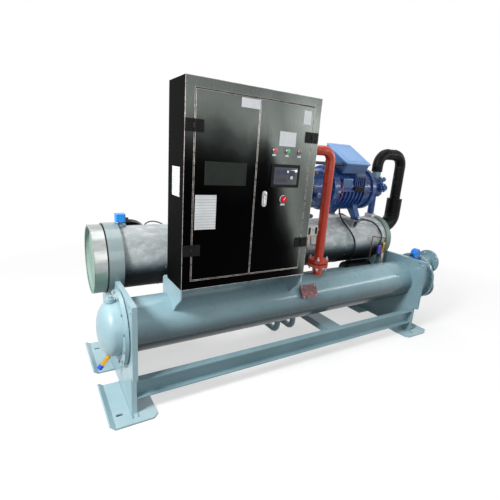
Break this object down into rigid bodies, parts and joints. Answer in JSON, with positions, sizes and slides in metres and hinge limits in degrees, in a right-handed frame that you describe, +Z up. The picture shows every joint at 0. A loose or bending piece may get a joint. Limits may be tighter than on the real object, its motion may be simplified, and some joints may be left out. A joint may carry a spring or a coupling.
{
  "type": "water-cooled screw chiller",
  "caption": "Water-cooled screw chiller with stacked condenser and evaporator vessels, a screw compressor on top and a hinged-door control cabinet in front.",
  "frame": {"origin": "on the floor under the middle of the whole unit", "axes": "+X along the vessels from the dished end to the water connections, +Y from the cabinet side to the back, +Z up"},
  "size_m": [3.374, 1.08, 2.006],
  "materials": {
    "vessel_paint": "semi-gloss paint over steel, scuffed",
    "bracket_paint": "semi-gloss paint over folded steel",
    "foot_steel": "paint, dusty and scuffed",
    "jacket": "stucco embossed cladding",
    "cap_paint": "satin paint",
    "foam": "matt closed-cell insulation",
    "machine_blue": "gloss enamel over castings",
    "box_blue": "gloss powder coat",
    "orange_paint": "gloss paint over steel tube",
    "stainless": "brushed, reflective",
    "galvanised": "galvanised sheet",
    "black_hardware": "satin black",
    "brass": "turned, slightly dull",
    "blue_plastic": "moulded, glossy",
    "violet_plastic": "moulded coil cover",
    "copper": "thin tube, dull",
    "dark_red": "anodised plate",
    "white_plastic": "moulded",
    "black_plastic": "moulded",
    "screen": "dark display in a black bezel",
    "lamp": "coloured lenses"
  },
  "bodies": {
    "unit": {"left_end_plate": "vessel_paint", "right_end_plate": "vessel_paint", "left_front_foot": "foot_steel", "left_rear_foot": "foot_steel", "right_front_foot": "foot_steel", "right_rear_foot": "foot_steel", "front_beam": "vessel_paint", "rear_beam": "vessel_paint", "cross_beam": "vessel_paint", "condenser_shell": "vessel_paint", "condenser_head": "vessel_paint", "condenser_water_box": "vessel_paint", "flow_switch": "blue_plastic", "drain_valve": "brass", "cabinet_left_bracket": "bracket_paint", "cabinet_right_bracket": "bracket_paint", "plate_bracket": "dark_red", "evaporator_shell": "jacket", "evaporator_band": "vessel_paint", "evaporator_cap": "cap_paint", "evaporator_tail": "cap_paint", "evaporator_nozzles": "foam", "vent_actuator": "blue_plastic", "compressor_body": "machine_blue", "motor_housing": "machine_blue", "motor_cover": "machine_blue", "suction_valve": "machine_blue", "terminal_box": "box_blue", "terminal_lid": "box_blue", "compressor_mounts": "galvanised", "discharge_pipe": "orange_paint", "discharge_flanges": "orange_paint", "suction_pipe": "foam", "sensor_box": "white_plastic", "filter_drier": "foam", "liquid_line": "vessel_paint", "cabinet_body": "stainless", "mounting_plate": "galvanised", "hinge_frames": "black_hardware", "cable_glands": "black_plastic", "suction_stub": "vessel_paint", "service_valve": "brass", "solenoid_coil": "violet_plastic", "capillary": "copper", "control_cables": "black_plastic", "motor_cables": "black_plastic"},
    "left_door": {"left_door": "stainless", "left_door_leaves": "black_hardware"},
    "right_door": {"right_door": "stainless", "right_door_leaves": "black_hardware", "touch_screen": "screen", "door_lamps": "lamp", "door_switch": "lamp", "door_lock": "black_hardware"}
  },
  "joints": [
    {"name": "left_door_hinge", "type": "hinge", "parent": "unit", "child": "left_door", "pos_m": [-1.1755, -0.496, 1.4055], "axis": [0, 0, 1], "range_deg": [-110, 0]},
    {"name": "right_door_hinge", "type": "hinge", "parent": "unit", "child": "right_door", "pos_m": [-0.3525, -0.496, 1.4055], "axis": [0, 0, 1], "range_deg": [0, 110]}
  ]
}
